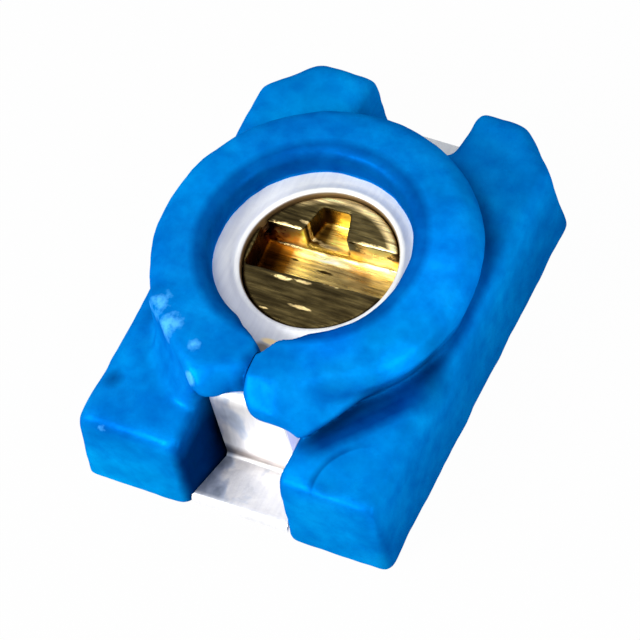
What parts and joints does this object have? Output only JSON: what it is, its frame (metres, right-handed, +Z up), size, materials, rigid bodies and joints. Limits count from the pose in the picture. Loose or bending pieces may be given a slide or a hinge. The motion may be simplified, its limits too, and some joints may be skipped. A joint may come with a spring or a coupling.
{
  "type": "trimmer capacitor",
  "caption": "Low rectangular surface-mount trimmer capacitor with a round collar, a turnable slotted brass rotor and a solder foot at each end.",
  "frame": {"origin": "centre of the case's underside, on the board", "axes": "+Z up off the board along the rotor's axis; +Y along the case's length, from the adjusting terminal to the fixed terminal; +X across the case's width"},
  "size_m": [0.0032, 0.0046, 0.0015],
  "materials": {
    "blue_resin": "moulded resin, satin to gloss, softly rounded edges",
    "silver_plate": "silver-plated copper alloy sheet, bright and slightly rippled",
    "silver_bond": "conductive adhesive, matte grey",
    "fired_silver": "fired silver film, matte",
    "ceramic": "ground ceramic, matte",
    "brass": "milled brass, streaked, bright at the edges",
    "spring_bronze": "phosphor bronze strip, plain"
  },
  "bodies": {
    "case": {"case_housing": "blue_resin", "fixed_terminal": "silver_plate", "conductive_bond": "silver_bond", "fixed_electrode": "fired_silver", "ceramic_disc": "ceramic", "wave_spring": "spring_bronze", "rotor_terminal": "silver_plate"},
    "rotor": {"rotor": "brass"}
  },
  "joints": [
    {"name": "rotor_turn", "type": "hinge", "parent": "case", "child": "rotor", "pos_m": [0, 0, 0.0009], "axis": [0, 0, 1], "continuous": true}
  ]
}
